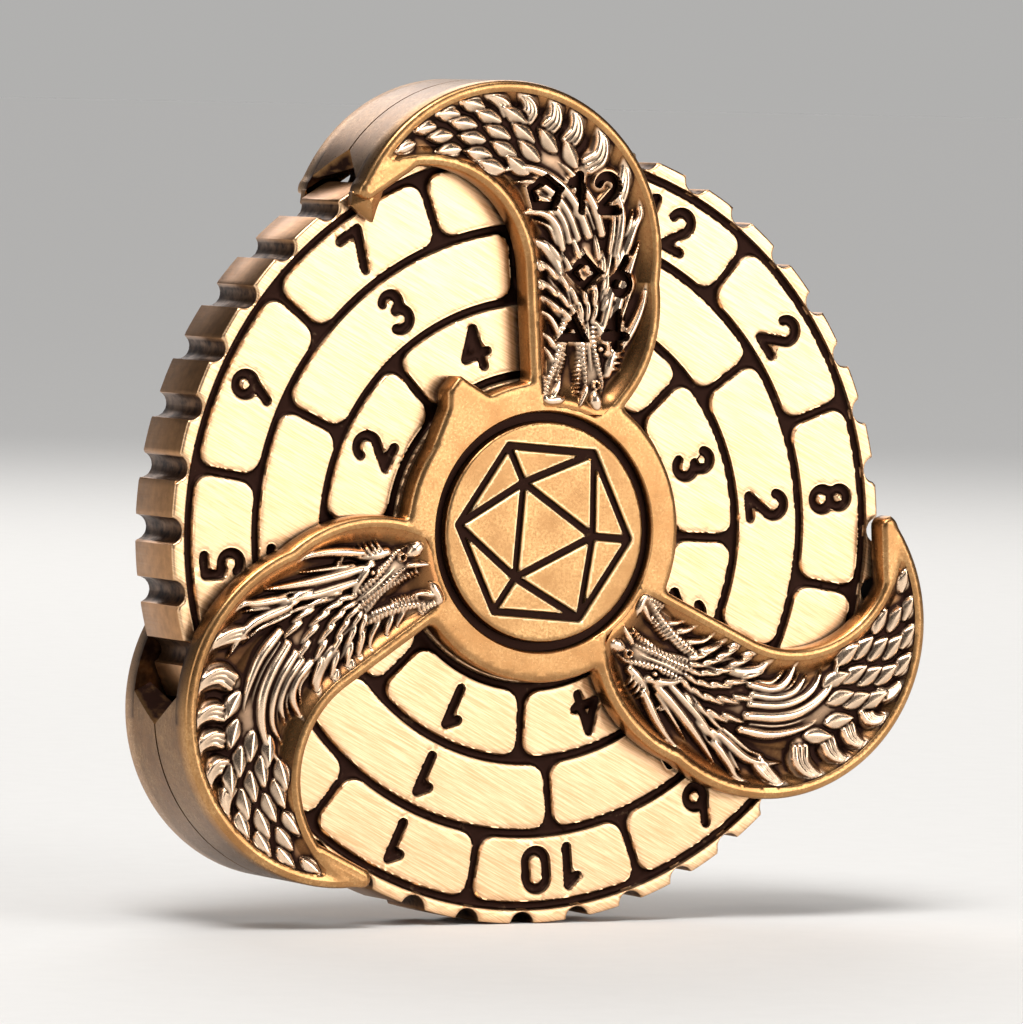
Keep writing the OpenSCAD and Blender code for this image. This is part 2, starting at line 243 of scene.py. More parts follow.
def number(n, x, y):
    """Signed distance to a number's engraved strokes."""
    if n < 10:
        return figure(n, x, y) - STROKE / 2
    tens, ones = figure(n // 10, x + PAIR_SHIFT, y), figure(n % 10, x - PAIR_SHIFT, y)
    return np.minimum(tens, ones) - STROKE / 2


# ---- Flat meshes that follow contours ----

def grid(low, high, step, keep):
    """Points and triangles of a square grid over low..high, where keep < step."""
    xs = np.arange(low[0], high[0] + step, step)
    ys = np.arange(low[1], high[1] + step, step)
    gx, gy = np.meshgrid(xs, ys)
    points = np.stack([gx.ravel(), gy.ravel()], 1)
    columns = len(xs)
    corner = (np.arange(len(ys) - 1)[:, None] * columns + np.arange(columns - 1)).ravel()
    a, b, c, d = corner, corner + 1, corner + columns + 1, corner + columns
    even = ((corner // columns + corner % columns) % 2 == 0)[:, None]
    first = np.where(even, np.stack([a, b, c], 1), np.stack([a, b, d], 1))
    second = np.where(even, np.stack([a, c, d], 1), np.stack([b, c, d], 1))
    tris = np.concatenate([first, second])
    near = keep(*points.T) < 1.5 * step
    return tidy(points, tris[near[tris].any(1)])


def tidy(points, tris, *values):
    """Drops the points that no triangle uses, and their values."""
    used = np.unique(tris)
    index = np.full(len(points), -1)
    index[used] = np.arange(len(used))
    return points[used], index[tris], *(v[used] for v in values)


def slope(field, points, h=0.01):
    """The gradient of a field."""
    x, y = points.T
    gx = (field(x + h, y) - field(x - h, y)) / (2 * h)
    gy = (field(x, y + h) - field(x, y - h)) / (2 * h)
    return np.stack([gx, gy], 1)


def follow(flat, field, level, step, clip=False):
    """Cuts the triangles of a flat mesh along field = level, and with clip
    throws away those where the field is larger."""
    points, tris, held = flat
    value = field(*points.T) - level
    near = (np.abs(value) < 0.3 * step) & ~held
    if near.any():
        g = slope(field, points[near])
        moved = value[near, None] * g / np.maximum((g * g).sum(1, keepdims=True), 0.25)
        points[near] -= moved
        value[near] = field(*points[near].T) - level
        value[near] = np.where(np.abs(value[near]) < 0.05 * step, 0, value[near])
        held = held | (near & (value == 0))
    value[np.abs(value) < 1e-5] = 0
    sign = np.sign(value)
    starts, ends = tris[:, [0, 1, 2]], tris[:, [1, 2, 0]]
    crossing = sign[starts] * sign[ends] < 0
    low, high = np.minimum(starts, ends), np.maximum(starts, ends)
    keys = low.astype(np.int64) * len(points) + high
    unique = np.unique(keys[crossing])
    p, q = unique // len(points), unique % len(points)
    # a few steps of false position find where the field crosses each edge
    low_t, high_t = np.zeros(len(p)), np.ones(len(p))
    low_value, high_value = value[p], value[q]
    for _ in range(3):
        t = low_t + (high_t - low_t) * low_value / (low_value - high_value)
        new = points[p] + t[:, None] * (points[q] - points[p])
        here = field(*new.T) - level
        before = (here * low_value > 0) | (here == 0)
        low_t, low_value = np.where(before, t, low_t), np.where(before, here, low_value)
        high_t, high_value = np.where(before, high_t, t), np.where(before, high_value, here)
    found = np.full(keys.shape, -1)
    found[crossing] = len(points) + np.searchsorted(unique, keys[crossing])
    points = np.concatenate([points, new])
    sign = np.concatenate([sign, np.zeros(len(new))])
    held = np.concatenate([held, np.ones(len(new), bool)])
    count = crossing.sum(1)
    out = [tris[count == 0]]
    for k in range(3):
        # one cut, on the edge that starts at corner k
        rows = (count == 1) & crossing[:, k]
        b, c, a = (tris[rows, (k + j) % 3] for j in range(3))
        m = found[rows, k]
        out += [np.stack([a, b, m], 1), np.stack([a, m, c], 1)]
        # two cuts, on both edges that meet at corner k
        rows = (count == 2) & ~crossing[:, (k + 1) % 3]
        a, b, c = (tris[rows, (k + j) % 3] for j in range(3))
        ab, ca = found[rows, k], found[rows, (k + 2) % 3]
        out += [np.stack([a, ab, ca], 1), np.stack([ab, b, c], 1), np.stack([ab, c, ca], 1)]
    tris = np.concatenate(out)
    if clip:
        middle = points[tris].mean(1)
        inside = (sign[tris] <= 0).all(1)
        flat_ones = (sign[tris] == 0).all(1)
        inside &= ~flat_ones | (field(*middle.T) < level)
        tris = tris[inside]
    return tidy(points, tris, held)


def drawn(low, high, step, outline, contours):
    """A flat mesh clipped to outline < 0 that also follows the contours, each
    a field with its levels."""
    points, tris = grid(low, high, step, outline)
    flat = (points, tris, np.zeros(len(points), bool))
    flat = follow(flat, outline, 0, step, clip=True)
    for field, levels in contours:
        for level in levels:
            flat = follow(flat, field, level, step)
    return flat[0], flat[1]


def sides(tris):
    return np.concatenate([tris[:, [0, 1]], tris[:, [1, 2]], tris[:, [2, 0]]])


def rim_edges(tris):
    """The directed edges that only one triangle has."""
    edges = sides(tris)
    n = edges.max() + 1
    forward = edges[:, 0].astype(np.int64) * n + edges[:, 1]
    backward = edges[:, 1].astype(np.int64) * n + edges[:, 0]
    return edges[~np.isin(forward, backward)]


def loops(edges):
    """The rim edges chained into closed loops of point indices."""
    after = {}
    for a, b in edges:
        after.setdefault(int(a), []).append(int(b))
    chains = []
    while after:
        start = next(iter(after))
        chain = [start]
        here = start
        while True:
            nexts = after[here]
            here = nexts.pop()
            if not nexts:
                del after[chain[-1]]
            if here == start or here not in after:
                break
            chain.append(here)
        chains.append(chain)
    return chains


def closed(points, tris, top, bottom, flat_bottom=True):
    """A closed solid: the flat mesh at height top, walls, and a bottom, which
    is made of few large triangles when it is flat."""
    n = len(points)
    edges = rim_edges(tris)
    top, heights = np.broadcast_to(top, n), np.broadcast_to(bottom, n)
    if flat_bottom:
        chains = [c for c in loops(edges) if len(c) > 2]
        order = np.concatenate([np.array(c) for c in chains])
        where = np.full(n, -1)
        where[order] = n + np.arange(len(order))
        lower = np.column_stack([points[order], heights[order]])
        corners = [[Vector((*points[i], 0)) for i in c] for c in chains]
        under = np.array(tessellate_polygon(corners), int)
        a, b, c = (points[order[under[:, k]]] for k in range(3))
        area = (b[:, 0] - a[:, 0]) * (c[:, 1] - a[:, 1]) - (b[:, 1] - a[:, 1]) * (c[:, 0] - a[:, 0])
        under = np.where((area > 0)[:, None], under[:, ::-1], under) + n
    else:
        where = n + np.arange(n)
        lower = np.column_stack([points, heights])
        under = tris[:, ::-1] + n
    a, b = edges.T
    walls = np.concatenate([
        np.stack([a, where[a], b], 1),
        np.stack([b, where[a], where[b]], 1),
    ])
    verts = np.concatenate([np.column_stack([points, top]), lower])
    return verts, np.concatenate([tris, walls, under])


def blurred(values, tris, times):
    """values averaged with their neighbours, several times over."""
    a, b = np.unique(np.sort(sides(tris), 1), axis=0).T
    n = len(values)
    weight = 1.0 + np.bincount(a, minlength=n) + np.bincount(b, minlength=n)
    out = values.astype(float)
    for _ in range(times):
        total = out + np.bincount(a, out[b], n) + np.bincount(b, out[a], n)
        out = total / weight
    return out


def filled(values, verts, value):
    """values for the top's points, and one value for those of walls and bottom."""
    return np.concatenate([values, np.full(len(verts) - len(values), value)])


def piece(name, verts, tris, material, body, patina_and_shade=None, back=False, sharp=38.0, pale=None):
    """Makes the Blender object in the row frame and lets it ride. A back piece
    is the mirror image of a front one."""
    x, y, z = verts.T
    if back:
        z = -z
        tris = tris[:, ::-1]
    co = np.stack([x, -z, y], 1) * MM
    mesh = bpy.data.meshes.new(name)
    mesh.vertices.add(len(co))
    mesh.vertices.foreach_set("co", co.ravel())
    mesh.loops.add(3 * len(tris))
    mesh.loops.foreach_set("vertex_index", tris.ravel().astype(np.int32))
    mesh.polygons.add(len(tris))
    mesh.polygons.foreach_set("loop_start", np.arange(0, 3 * len(tris), 3, dtype=np.int32))
    for label, values in (("patina_and_shade", patina_and_shade), ("pale", pale)):
        if values is not None:
            store = mesh.attributes.new(label, "FLOAT", "POINT")
            store.data.foreach_set("value", np.clip(values, 0, 1).astype(np.float32))
    mesh.update(calc_edges=True)
    mesh.validate()
    mesh.shade_smooth()
    mesh.set_sharp_from_angle(angle=math.radians(sharp))
    mesh.materials.append(material)
    obj = bpy.data.objects.new(name, mesh)
    bpy.context.scene.collection.objects.link(obj)
    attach(obj, body)
    return obj


def rounded(depth, radius):
    """How far a rounded edge drops at this distance inside the outline."""
    t = np.clip(1 - depth / radius, 0, 1)
    return radius * (1 - np.sqrt(1 - t * t))


def step_up(value, start, end):
    """0 up to start, 1 from end on, and smooth between."""
    t = np.clip((value - start) / (end - start), 0, 1)
    return t * t * (3 - 2 * t)


# ---- Materials ----

def new_material(name):
    mat = bpy.data.materials.new(name)
    mat.use_nodes = True
    tree = mat.node_tree
    tree.nodes.clear()
    out = tree.nodes.new("ShaderNodeOutputMaterial")
    shader = tree.nodes.new("ShaderNodeBsdfPrincipled")
    tree.links.new(shader.outputs[0], out.inputs[0])
    return mat, tree, shader


def link(tree, source, target):
    tree.links.new(source, target)


def coords(tree, scale=(1, 1, 1), rotation=(0, 0, 0)):
    """Object coordinates in millimetres, turned and stretched."""
    tex = tree.nodes.new("ShaderNodeTexCoord")
    spin = tree.nodes.new("ShaderNodeVectorRotate")
    spin.rotation_type = "EULER_XYZ"
    spin.inputs["Rotation"].default_value = rotation
    mapping = tree.nodes.new("ShaderNodeMapping")
    mapping.inputs["Scale"].default_value = tuple(s / MM for s in scale)
    link(tree, tex.outputs["Object"], spin.inputs["Vector"])
    link(tree, spin.outputs[0], mapping.inputs["Vector"])
    return mapping.outputs[0]


def noise(tree, vector, scale, detail=3.0, roughness=0.55):
    node = tree.nodes.new("ShaderNodeTexNoise")
    node.inputs["Scale"].default_value = scale
    node.inputs["Detail"].default_value = detail
    node.inputs["Roughness"].default_value = roughness
    link(tree, vector, node.inputs["Vector"])
    return node.outputs["Fac"]


def remap(tree, value, lo, hi, to_lo=0.0, to_hi=1.0):
    node = tree.nodes.new("ShaderNodeMapRange")
    for socket, limit in zip(("From Min", "From Max", "To Min", "To Max"), (lo, hi, to_lo, to_hi)):
        node.inputs[socket].default_value = limit
    link(tree, value, node.inputs["Value"])
    return node.outputs[0]


def mix_color(tree, fac, a, b):
    """Mixes a and b, each a node's output or a constant colour."""
    node = tree.nodes.new("ShaderNodeMix")
    node.data_type = "RGBA"
    link(tree, fac, node.inputs["Factor"])
    for socket, value in ((node.inputs[6], a), (node.inputs[7], b)):
        if isinstance(value, tuple):
            socket.default_value = (*value, 1)
        else:
            link(tree, value, socket)
    return node.outputs[2]


def math_node(tree, operation, a, b):
    node = tree.nodes.new("ShaderNodeMath")
    node.operation = operation
    link(tree, a, node.inputs[0])
    link(tree, b, node.inputs[1])
    return node.outputs[0]


def bump(tree, shader, height, strength, distance):
    node = tree.nodes.new("ShaderNodeBump")
    node.inputs["Strength"].default_value = strength
    node.inputs["Distance"].default_value = distance * MM
    link(tree, height, node.inputs["Height"])
    link(tree, node.outputs[0], shader.inputs["Normal"])


def attribute(tree, name):
    node = tree.nodes.new("ShaderNodeAttribute")
    node.attribute_name = name
    return node.outputs["Fac"]


# Dark brown of the patina in recesses, also used as painted shade at the feet of walls and in gaps.
PATINA_AND_SHADE_BROWN = (0.020, 0.0065, 0.0035)


def antique_metal(name, bright, mid, rough, brush=None, grain=0.0, pale=None, stains=0.14):
    """Plated metal that turns dark brown where the per-point darkening attribute is near 1:
    patina in its recesses, and painted shade at the feet of walls and in gaps.
    brush is the direction of the brush lines in degrees, or None. Where the
    pale attribute is near 1, the metal has the colour pale: on the dial the
    darker copper of the wheel's rim, on beasts and medallions a painted highlight."""
    mat, tree, shader = new_material(name)
    plain = coords(tree)
    stain = noise(tree, plain, 1.3, 5, 0.6)
    stain = remap(tree, stain, 0.3, 0.7, -stains, stains)
    fac = remap(tree, math_node(tree, "ADD", attribute(tree, "patina_and_shade"), stain), 0.1, 0.9)
    tone = mix_color(tree, remap(tree, noise(tree, plain, 0.35, 4), 0.35, 0.65), bright, mid)
    if brush is not None:
        lines = coords(tree, (0.3, 0.3, 9.0), (0, math.radians(brush), 0))
        height = noise(tree, lines, 1.0, 4, 0.7)
        tone = mix_color(tree, remap(tree, height, 0.62, 0.40, 0, 0.8), bright, mid)
    else:
        height = noise(tree, plain, 5.0, 4, 0.7)
        tone = mix_color(tree, remap(tree, height, 0.38, 0.62, 0, 0.9), tone, mid)
    if pale is not None:
        tone = mix_color(tree, attribute(tree, "pale"), tone, pale)
    link(tree, mix_color(tree, fac, tone, PATINA_AND_SHADE_BROWN), shader.inputs["Base Color"])
    worn = math_node(tree, "MAXIMUM", remap(tree, height, 0.3, 0.7, rough, rough + 0.1),
                     remap(tree, fac, 0, 1, 0.0, 0.5))
    link(tree, worn, shader.inputs["Roughness"])
    link(tree, remap(tree, fac, 0.3, 1.0, 1.0, 0.9), shader.inputs["Metallic"])
    bump(tree, shader, height, 0.22 if brush is not None else grain, 0.02)
    return mat


DIAL = antique_metal("dial_brass", (0.98, 0.66, 0.40), (0.62, 0.36, 0.17), 0.28, brush=-28,
                     pale=(0.52, 0.27, 0.12))
FRAME = antique_metal("frame_bronze", (0.64, 0.37, 0.16), (0.42, 0.21, 0.08), 0.25, grain=0.25,
                      stains=0.08)
# The beasts' pale colour is a painted highlight on the relief's high parts.
BEAST = antique_metal("beast_bronze", (0.52, 0.27, 0.10), (0.36, 0.16, 0.06), 0.2, grain=0.1,
                      pale=(1.0, 0.73, 0.51), stains=0.06)
# The medallions' pale colour is a painted highlight along the edges of their engraved lines.
MEDAL = antique_metal("medallion_bronze", (0.66, 0.39, 0.17), (0.38, 0.20, 0.08), 0.27, grain=0.5,
                      pale=(0.98, 0.72, 0.42))


def plain_metal(name, color, rough):
    """Bare turned metal with faint streaks round the axis."""
    mat, tree, shader = new_material(name)
    streaks = noise(tree, coords(tree, (0.4, 6.0, 0.4)), 1.0, 3)
    clouds = remap(tree, noise(tree, coords(tree), 0.8, 4), 0.3, 0.7)
    tone = mix_color(tree, clouds, color, tuple(0.8 * c for c in color))
    link(tree, tone, shader.inputs["Base Color"])
    shader.inputs["Metallic"].default_value = 1.0
    link(tree, remap(tree, streaks, 0.3, 0.7, rough, rough + 0.12), shader.inputs["Roughness"])
    bump(tree, shader, streaks, 0.1, 0.01)
    return mat


STEEL = plain_metal("turned_steel", (0.52, 0.52, 0.53), 0.28)
BEARING_STEEL = plain_metal("bearing_steel", (0.62, 0.62, 0.64), 0.12)
CAGE_BRASS = plain_metal("cage_brass", (0.75, 0.55, 0.25), 0.25)
SHIELD_STEEL = plain_metal("shield_steel", (0.48, 0.48, 0.50), 0.3)

SLOT_MATERIALS = {
    "antique_bronze": FRAME, "brushed_brass": DIAL, "steel": STEEL, "bearing_steel": BEARING_STEEL,
    "cage_brass": CAGE_BRASS, "shield_steel": SHIELD_STEEL,
}
for part in frame["record"]["subparts"]:
    node = frame["nodes"][part["node"]]
    node.data.materials.clear()
    node.data.materials.append(SLOT_MATERIALS[part["material_slot"]])


# ---- Number wheel ----

def wheel_outline(x, y):
    r = np.hypot(x, y)
    step = 2 * math.pi / NOTCHES
    a = (np.arctan2(y, x) - 1.5 * math.pi + step / 2) % step - step / 2
    cut = np.hypot(r * np.cos(a) - (WHEEL_R + NOTCH_OUT), r * np.sin(a)) - NOTCH_R
    return soft_max(np.maximum(r - WHEEL_R, WHEEL_HOLE_R - r), -cut, 0.08)


def raised_parts(back):
    """Signed distance to a wheel face's raised borders and fields without the
    numbers."""
    number_u, number_v = 3.2, 2.4

    def field(x, y):
        r, a = np.hypot(x, y), np.arctan2(y, x)
        up = np.minimum(BORDER_R - r, r - LAND_R)
        for low, high, numbers in RINGS:
            span = 2 * math.pi / len(numbers)
            off = (a - ONES_ANGLE + span / 2) % span - span / 2
            side = r * np.sin(span / 2 - np.abs(off)) - GROOVE_W / 2
            ends = np.minimum(high - r, r - low) - GROOVE_W / 2
            qx, qy = CORNER_R - side, CORNER_R - ends
            corner = np.hypot(np.maximum(qx, 0), np.maximum(qy, 0))
            cell = corner + np.minimum(np.maximum(qx, qy), 0) - CORNER_R
            up = np.minimum(up, cell)
        for low, high, numbers in RINGS:
            for k, n in enumerate(numbers):
                angle = ONES_ANGLE + k * 2 * math.pi / len(numbers)
                v, u = turn(x, y, angle)
                v = v - (low + high) / 2
                u = -u if not back else u
                near = (np.abs(u) < number_u) & (np.abs(v) < number_v)
                up[near] = np.maximum(up[near], -number(n, u[near], v[near]))
        return up
    return field


def build_wheel_half(name, back):
    up = raised_parts(back)
    step = 0.25
    size = WHEEL_R + step
    points, tris = drawn((-size, -size), (size, size), step, wheel_outline, [
        (up, (0.26, 0.16, WALL_W, 0.0, -0.06, -FACE_EDGE_R)),
        (wheel_outline, (-0.05, -0.12, -RIM_EDGE_R)),
    ])
    x, y = points.T
    d, edge = up(x, y), -wheel_outline(x, y)
    bevel = rounded(-d, FACE_EDGE_R) * 0.7
    top = FACE_Z - np.where(d < 0, bevel, 0)
    wall = np.clip(d / WALL_W, 0, 1)
    fillet = 0.14 * np.clip(1 - (d - WALL_W) / 0.18, 0, 1) ** 2
    top = top * (1 - wall) + (FLOOR_Z + fillet) * wall
    outer = np.hypot(x, y) > LAND_R
    top = np.where(outer, top - rounded(edge, RIM_EDGE_R) * 0.9, top)
    verts, faces = closed(points, tris, top, 0.0)
    dark = np.clip((FACE_Z - 0.12 - top) / 0.12, 0, 1) * (d > -0.02) * (edge > 0.25)
    vx, vy = verts[:, :2].T
    r = np.hypot(vx, vy)
    on_rim = (np.abs(wheel_outline(vx, vy)) < 0.02) & (r > LAND_R)
    in_notch = step_up(WHEEL_R - r, 0.05, 0.25) * on_rim
    patina_and_shade = np.maximum(filled(dark, verts, 0.1), np.maximum(0.2 * on_rim, 0.8 * in_notch))
    obj = piece(name, verts, faces, DIAL, "wheel", patina_and_shade, back, pale=1.0 * on_rim)
    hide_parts("number_wheel")


build_wheel_half("wheel_front_half", False)
build_wheel_half("wheel_back_half", True)


# ---- Frame ----

def arm_shape(x, y, grow=0.0, blend=0.25):
    """Signed distance to the first arm, grown by so much on all sides."""
    body = np.minimum(circle(x, y, ARM_C, ARM_R + grow), circle(x, y, ROOT_C, ROOT_R + grow))
    u, v = turn(x - INNER_C[0], y - INNER_C[1], INNER_LEAN)
    radius = INNER_ARC_R - grow
    bite = np.minimum(np.hypot(u, v) - radius, np.maximum(u - radius, v))
    tip = segment(x, y, TIP_C, TIP_ROOT) - (TIP_R + grow)
    return soft_min(soft_max(body, -bite, blend), tip, blend)


def in_arms(x, y, shape):
    """The shape in all three arms."""
    return np.minimum.reduce([shape(*turn(x, y, k * 2 * math.pi / 3)) for k in range(3)])


def frame_outline(x, y):
    hub = circle(x, y, (0, 0), HUB_R)
    arms = in_arms(x, y, arm_shape)
    whole = soft_min(hub, arms, 0.5)
    return np.minimum(whole, polygon(x, y, SPIKE) - 0.08)


def one_field(x, y):
    """Signed distance to the sunk field of the first arm."""
    return np.maximum(arm_shape(x, y, -BORDER_W, 0.4), RING_GROOVE_R + 0.1 - np.hypot(x, y))


def fields(x, y):
    return in_arms(x, y, one_field)


def field_floor(r):
    """The floor of a field rises gently to the face of the hub."""
    return FIELD_Z + (HALF_T - FIELD_Z) * (1 - step_up(r, RAMP_R0, RAMP_R1))


def field_profile(inside, r):
    """The border's soft slope down to the floor, at a distance inside the field."""
    return field_floor(r) + (HALF_T - field_floor(r)) * (1 - step_up(inside, SLOPE_START, SLOPE_END))


def build_frame_half(name, back):
    step = 0.25
    size = 31.0
    groove_half = (RING_GROOVE_R - MEDALLION_R) / 2

    def hub_rings(x, y):
        """Distance to the middle of the ring groove."""
        return np.abs(np.hypot(x, y) - (RING_GROOVE_R + MEDALLION_R) / 2)

    points, tris = drawn((-size, -size), (size, size), step, frame_outline, [
        (fields, (-SLOPE_START, -0.12, -0.22, -0.42)),
        (frame_outline, (-0.07, -0.2, -FRAME_EDGE_R)),
        (hub_rings, (groove_half + RING_EDGE_R, groove_half, groove_half - WALL_W)),
    ])
    x, y = points.T
    r = np.hypot(x, y)
    edge, f = -frame_outline(x, y), fields(x, y)
    top = HALF_T - rounded(edge, FRAME_EDGE_R) * 0.85
    cut = FIELD_CUT * step_up(r, RAMP_R0, RAMP_R0 + 0.5) * step_up(-f, 0.14, 0.42)
    top = top + field_profile(-f, r) - HALF_T - cut
    ring = hub_rings(x, y)
    near_ring = ring < groove_half + RING_EDGE_R
    top = np.where(near_ring, top - rounded(ring - groove_half, RING_EDGE_R), top)
    sunk = np.clip((groove_half - ring) / WALL_W, 0, 1)
    top = np.where(r < RING_GROOVE_R, top - RING_DEPTH * sunk, top)
    top = np.where(r < MEDALLION_R - 0.01, MEDALLION_Z, top)
    verts, faces = closed(points, tris, top, PLATE_Z)
    in_field = step_up(-f, 0.2, 1.2) * step_up(r, RAMP_R0, RAMP_R1)
    patina_and_shade = np.maximum.reduce([
        FIELD_PATINA * in_field,
        1.0 * (ring < groove_half - 0.04) * (r < RING_GROOVE_R),
        0.12 * (r < HUB_R) * (r > RING_GROOVE_R),
    ])

    def lug(px, py):
        """Signed distance to the parts of the arms outside the wheel."""
        return np.maximum(in_arms(px, py, arm_shape), LUG_R - np.hypot(px, py))

    def past_end(px, py):
        """Distance past the nearer V-shaped end of a lug, the same on all arms."""
        middle, half = (LUG_START + LUG_END) / 2, (LUG_END - LUG_START) / 2
        a = (np.arctan2(py, px) - middle + math.pi / 3) % (2 * math.pi / 3) - math.pi / 3
        return np.hypot(px, py) * np.sin(np.abs(a) - half)

    # Painted shade: the frame's walls darken towards their feet, most where the plate meets the lugs and
    # above the lugs' V-shaped ends.
    under_x, under_y = verts[len(points):, :2].T
    under_r = np.hypot(under_x, under_y)
    outside = under_r > LUG_R + 0.3
    over_notch = outside & (past_end(under_x, under_y) > 0.3)
    wall_base_shade = np.select([over_notch, outside, under_r > LUG_R - 1], [0.8, 0.52, 0.9], 0.6)
    patina_and_shade = np.concatenate([patina_and_shade, wall_base_shade])

    lug_points, lug_tris = drawn((-size, -size), (size, size), 0.3, lug, [
        (past_end, (0.0, LUG_NOTCH)), (lug, (-SEAM_DEPTH, -SEAM_DEPTH - 0.06)),
    ])
    middle = lug_points[lug_tris].mean(1)
    keep = past_end(*middle.T) < LUG_NOTCH
    lug_points, lug_tris = tidy(lug_points, lug_tris[keep])
    under = np.where(lug(*lug_points.T) > -SEAM_DEPTH - 0.03, SEAM_W, 0.01)
    under = np.maximum(under, np.minimum(past_end(*lug_points.T) / LUG_NOTCH * PLATE_Z, PLATE_Z - 0.002))
    lug_verts, lug_faces = closed(lug_points, lug_tris, PLATE_Z, under, flat_bottom=False)
    # Painted shade: the lugs' walls are painted darker, nearly black in the V-shaped ends and next to
    # the wheel.
    lx, ly = lug_verts[:, :2].T
    gap_shade = step_up(past_end(lx, ly), -0.05, 0.3) * step_up(-lug(lx, ly), 0.02, 0.3)
    gap_shade = np.maximum(gap_shade, np.hypot(lx, ly) < LUG_R + 0.1)
    patina_and_shade = np.concatenate([patina_and_shade, 0.52 + 0.4 * gap_shade])
    faces = np.concatenate([faces, lug_faces + len(verts)])
    verts = np.concatenate([verts, lug_verts])
    side = "back" if back else "front"
    obj = piece(name, verts, faces, FRAME, "frame", patina_and_shade, back)
    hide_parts(side + "_frame")


def build_claw(name, back):
    """The faceted claw that points at the outer ring's number."""
    def outline(x, y):
        return polygon(x, y, CLAW)

    points, tris = drawn((-14.6, 20), (-11.4, 23.6), 0.09, outline, [(outline, (-0.05, -0.45))])
    depth = -outline(*points.T)
    top = np.minimum(CLAW_Z, PLATE_Z + 0.45 + 0.9 * depth) - 0.12 * (points[:, 0] + 13)
    verts, faces = closed(points, tris, np.minimum(top, CLAW_Z), PLATE_Z)
    patina_and_shade = filled(0.35 - 0.3 * step_up(depth, 0.0, 0.5), verts, 0.6)
    obj = piece(name, verts, faces, FRAME, "frame", patina_and_shade, back, sharp=20)
    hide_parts("back_frame" if back else "front_frame")


build_frame_half("frame_front_half", False)
build_frame_half("frame_back_half", True)
build_claw("claw_front", False)
build_claw("claw_back", True)


# ---- Relief beasts, drawn for the first arm ----

BEAST_STEP = 0.062
BEAST_TOP, BEAST_BOTTOM = HALF_T + 0.2, FIELD_Z - 0.4
SWELL = 1.45
SCALE_PITCH, SCALE_LENGTH, SCALE_HALF_W = 1.9, 2.2, 0.62
MARK_FLOOR = FIELD_Z - 0.3

# Strands: half width before SWELL, height, then the points from root to tip
MANE = (
    (0.30, 0.80, (3.9, 19.8), (3.2, 21.7), (2.2, 23.1), (1.2, 24.1), (0.4, 24.6)),
    (0.15, 0.60, (3.3, 20.1), (2.5, 21.8), (1.5, 23.1), (0.3, 24.1)),
    (0.34, 0.86, (2.9, 19.7), (1.9, 21.6), (0.7, 23.0), (-0.9, 23.9), (-2.6, 24.1), (-4.6, 23.5)),
    (0.15, 0.62, (2.5, 19.8), (1.6, 21.4), (0.4, 22.8), (-1.0, 23.5)),
    (0.30, 0.80, (2.1, 19.5), (1.2, 21.3), (0.1, 22.5), (-1.2, 23.15), (-2.8, 23.1)),
    (0.15, 0.60, (1.8, 19.6), (0.9, 21.2), (-0.3, 22.3), (-1.6, 22.75)),
    (0.28, 0.76, (1.5, 19.3), (0.8, 20.9), (-0.3, 22.0), (-1.8, 22.3)),
    (0.14, 0.58, (1.25, 19.2), (0.65, 20.6), (-0.4, 21.55), (-1.7, 21.75)),
    (0.28, 0.74, (1.0, 18.8), (0.5, 20.3), (-0.5, 21.1), (-2.4, 21.1)),
    (0.14, 0.50, (0.6, 19.0), (0.0, 20.2), (-1.3, 20.75)),
    (0.40, 0.60, (0.95, 16.8), (0.6, 17.9), (-0.25, 18.9), (-1.6, 19.5)),
)
BEARD = (
    (0.17, 0.50, (0.6, 11.2), (0.15, 11.9), (-0.35, 12.5)),
    (0.20, 0.55, (0.7, 12.2), (0.1, 12.9), (-0.55, 13.35)),
    (0.19, 0.55, (0.95, 13.1), (0.3, 14.15), (-0.4, 14.6), (-0.95, 14.45)),
    (0.30, 0.52, (1.0, 14.4), (0.1, 15.3), (-1.05, 15.7)),
    (0.26, 0.55, (1.3, 15.2), (0.5, 16.2), (-0.1, 17.1)),
)
SPIKES = (
    (0.20, 0.60, (3.6, 14.4), (4.2, 16.6), (4.6, 18.4), (4.75, 20.3)),
    (0.30, 0.84, (4.0, 13.4), (4.7, 16.2), (5.3, 18.0), (5.6, 20.1)),
    (0.16, 0.60, (4.4, 13.4), (5.1, 16.0), (5.75, 17.9), (6.3, 19.6)),
    (0.30, 0.80, (4.5, 12.6), (5.3, 15.4), (6.1, 17.6), (6.9, 19.5)),
    (0.15, 0.50, (5.0, 13.0), (5.9, 15.2), (6.6, 16.8)),
    (0.26, 0.76, (5.4, 12.1), (6.4, 13.7), (7.1, 15.3), (7.3, 16.8)),
    (0.28, 0.76, (5.0, 18.4), (5.35, 21.0), (4.95, 22.5), (4.2, 23.8)),
    (0.17, 0.62, (4.55, 18.6), (4.8, 21.0), (4.45, 22.4)),
    (0.26, 0.70, (5.6, 18.4), (6.3, 20.2), (6.75, 21.1), (6.6, 22.3)),
    (0.16, 0.55, (5.5, 19.4), (6.1, 20.7), (6.35, 21.5)),
)
# Flames: spread of their ridges, then as for strands
FLAMES = (
    (0.30, 0.22, 0.66, (5.1, 22.0), (5.45, 23.2), (5.5, 24.2), (5.3, 25.2)),
    (0.42, 0.26, 0.80, (2.7, 24.3), (3.55, 24.9), (3.75, 26.1), (3.25, 27.5)),
    (0.38, 0.24, 0.76, (1.2, 25.8), (1.75, 26.5), (1.8, 27.4), (1.3, 28.5)),
    (0.36, 0.24, 0.76, (-0.3, 26.7), (0.2, 27.3), (0.2, 28.2), (-0.4, 29.1)),
    (0.34, 0.24, 0.74, (-1.9, 27.3), (-1.6, 27.9), (-1.9, 28.6), (-2.75, 29.15)),
    (0.30, 0.22, 0.70, (-3.3, 27.6), (-3.6, 28.2), (-4.2, 28.6), (-5.3, 28.95)),
    (0.0, 0.32, 0.60, (-11.6, 25.6), (-12.6, 24.9), (-13.3, 24.1), (-13.75, 23.0)),
)
